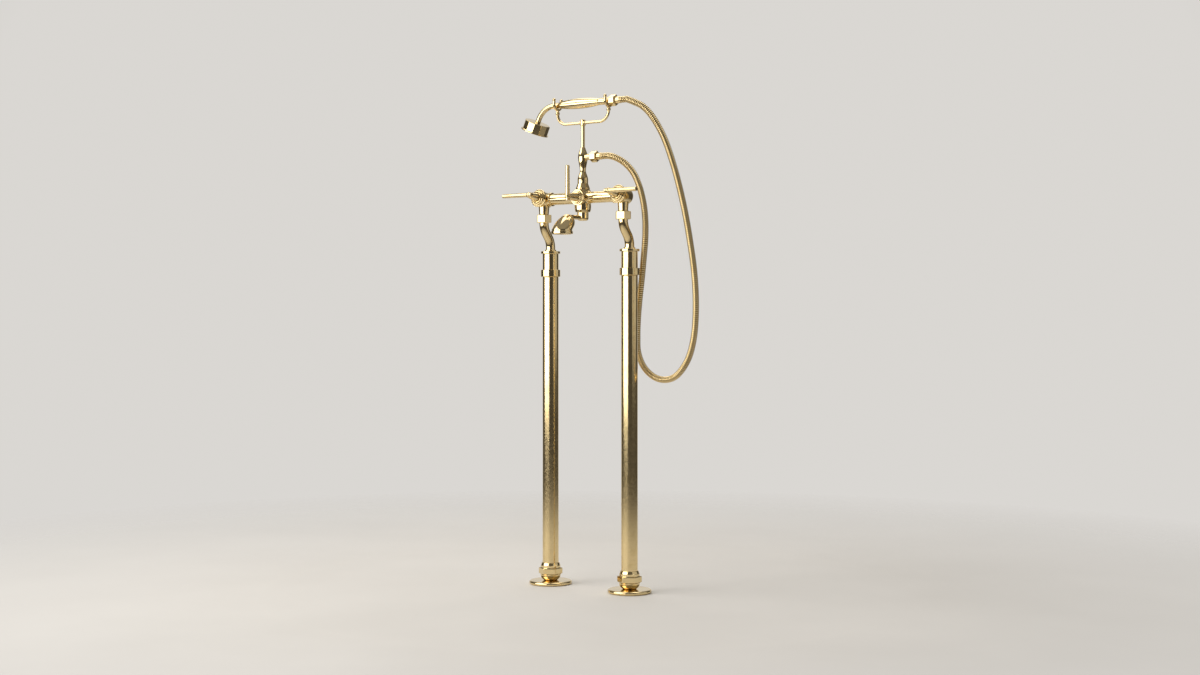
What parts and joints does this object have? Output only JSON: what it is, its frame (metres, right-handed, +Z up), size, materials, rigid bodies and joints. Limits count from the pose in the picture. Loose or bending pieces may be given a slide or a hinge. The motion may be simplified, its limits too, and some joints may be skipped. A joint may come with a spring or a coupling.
{
  "type": "bath shower mixer",
  "caption": "Floor standing polished brass bath shower mixer on standpipes, with lever valves, a bell spout and a hand shower on a cradle with a ribbed hose.",
  "frame": {"origin": "on the floor, midway between the two standpipe axes", "axes": "+X to the cold side, -Y to the front where the spout points, +Z up"},
  "size_m": [0.3871, 0.143, 0.9018],
  "materials": {
    "polished_brass": "polished",
    "rubber": "matte",
    "ceramic": "ground smooth",
    "white_plastic": "satin"
  },
  "bodies": {
    "stand": {"hot_floor_plate": "polished_brass", "cold_floor_plate": "polished_brass", "hot_floor_flange": "polished_brass", "cold_floor_flange": "polished_brass", "hot_base_nut": "polished_brass", "cold_base_nut": "polished_brass", "base_seals": "rubber", "hot_leg_cover": "polished_brass", "cold_leg_cover": "polished_brass", "hot_collar": "polished_brass", "cold_collar": "polished_brass", "hot_top_sleeve": "polished_brass", "cold_top_sleeve": "polished_brass", "hot_supply_pipe": "polished_brass", "cold_supply_pipe": "polished_brass", "hot_swan_neck": "polished_brass", "cold_swan_neck": "polished_brass", "hot_union_nut": "polished_brass", "cold_union_nut": "polished_brass", "union_washers": "rubber", "mixer_body": "polished_brass", "hot_cartridge": "polished_brass", "cold_cartridge": "polished_brass", "diverter_cartridge": "polished_brass", "fixed_discs": "ceramic", "valve_seals": "rubber", "hot_bonnet": "polished_brass", "cold_bonnet": "polished_brass", "diverter_bonnet": "polished_brass", "spout": "polished_brass", "flow_straightener": "white_plastic", "riser": "polished_brass", "check_valve": "white_plastic", "cradle_rod": "polished_brass", "cradle_fork": "polished_brass", "riser_hose_washer": "rubber", "riser_hose_nut": "polished_brass", "riser_ferrule": "polished_brass", "hose": "polished_brass"},
    "hot_handle": {"hot_lever": "polished_brass", "hot_grub_screw": "polished_brass", "hot_spindle": "polished_brass", "hot_moving_disc": "ceramic"},
    "cold_handle": {"cold_lever": "polished_brass", "cold_grub_screw": "polished_brass", "cold_spindle": "polished_brass", "cold_moving_disc": "ceramic"},
    "diverter_handle": {"diverter_lever": "polished_brass", "diverter_grub_screw": "polished_brass", "diverter_spindle": "polished_brass", "diverter_moving_disc": "ceramic"},
    "handset": {"handset_neck": "polished_brass", "handset_grip": "polished_brass", "handset_tail": "polished_brass", "shower_head": "polished_brass", "spray_plate": "polished_brass", "handset_hose_washer": "rubber", "handset_hose_nut": "polished_brass", "handset_ferrule": "polished_brass"}
  },
  "joints": [
    {"name": "hot_lever_turn", "type": "hinge", "parent": "stand", "child": "hot_handle", "pos_m": [-0.09, -0.02, 0.71607], "axis": [0, 0.9903, -0.1392], "range_deg": [0, 90]},
    {"name": "cold_lever_turn", "type": "hinge", "parent": "stand", "child": "cold_handle", "pos_m": [0.09, -0.02, 0.71607], "axis": [0, -0.9903, 0.1392], "range_deg": [0, 90]},
    {"name": "diverter_turn", "type": "hinge", "parent": "stand", "child": "diverter_handle", "pos_m": [0, -0.02, 0.71607], "axis": [0, 1, 0], "range_deg": [0, 90]},
    {"name": "handset_lift", "type": "slide", "parent": "stand", "child": "handset", "axis": [0, 0, 1], "range_m": [0, 0.06], "deforming": ["hose"]}
  ]
}
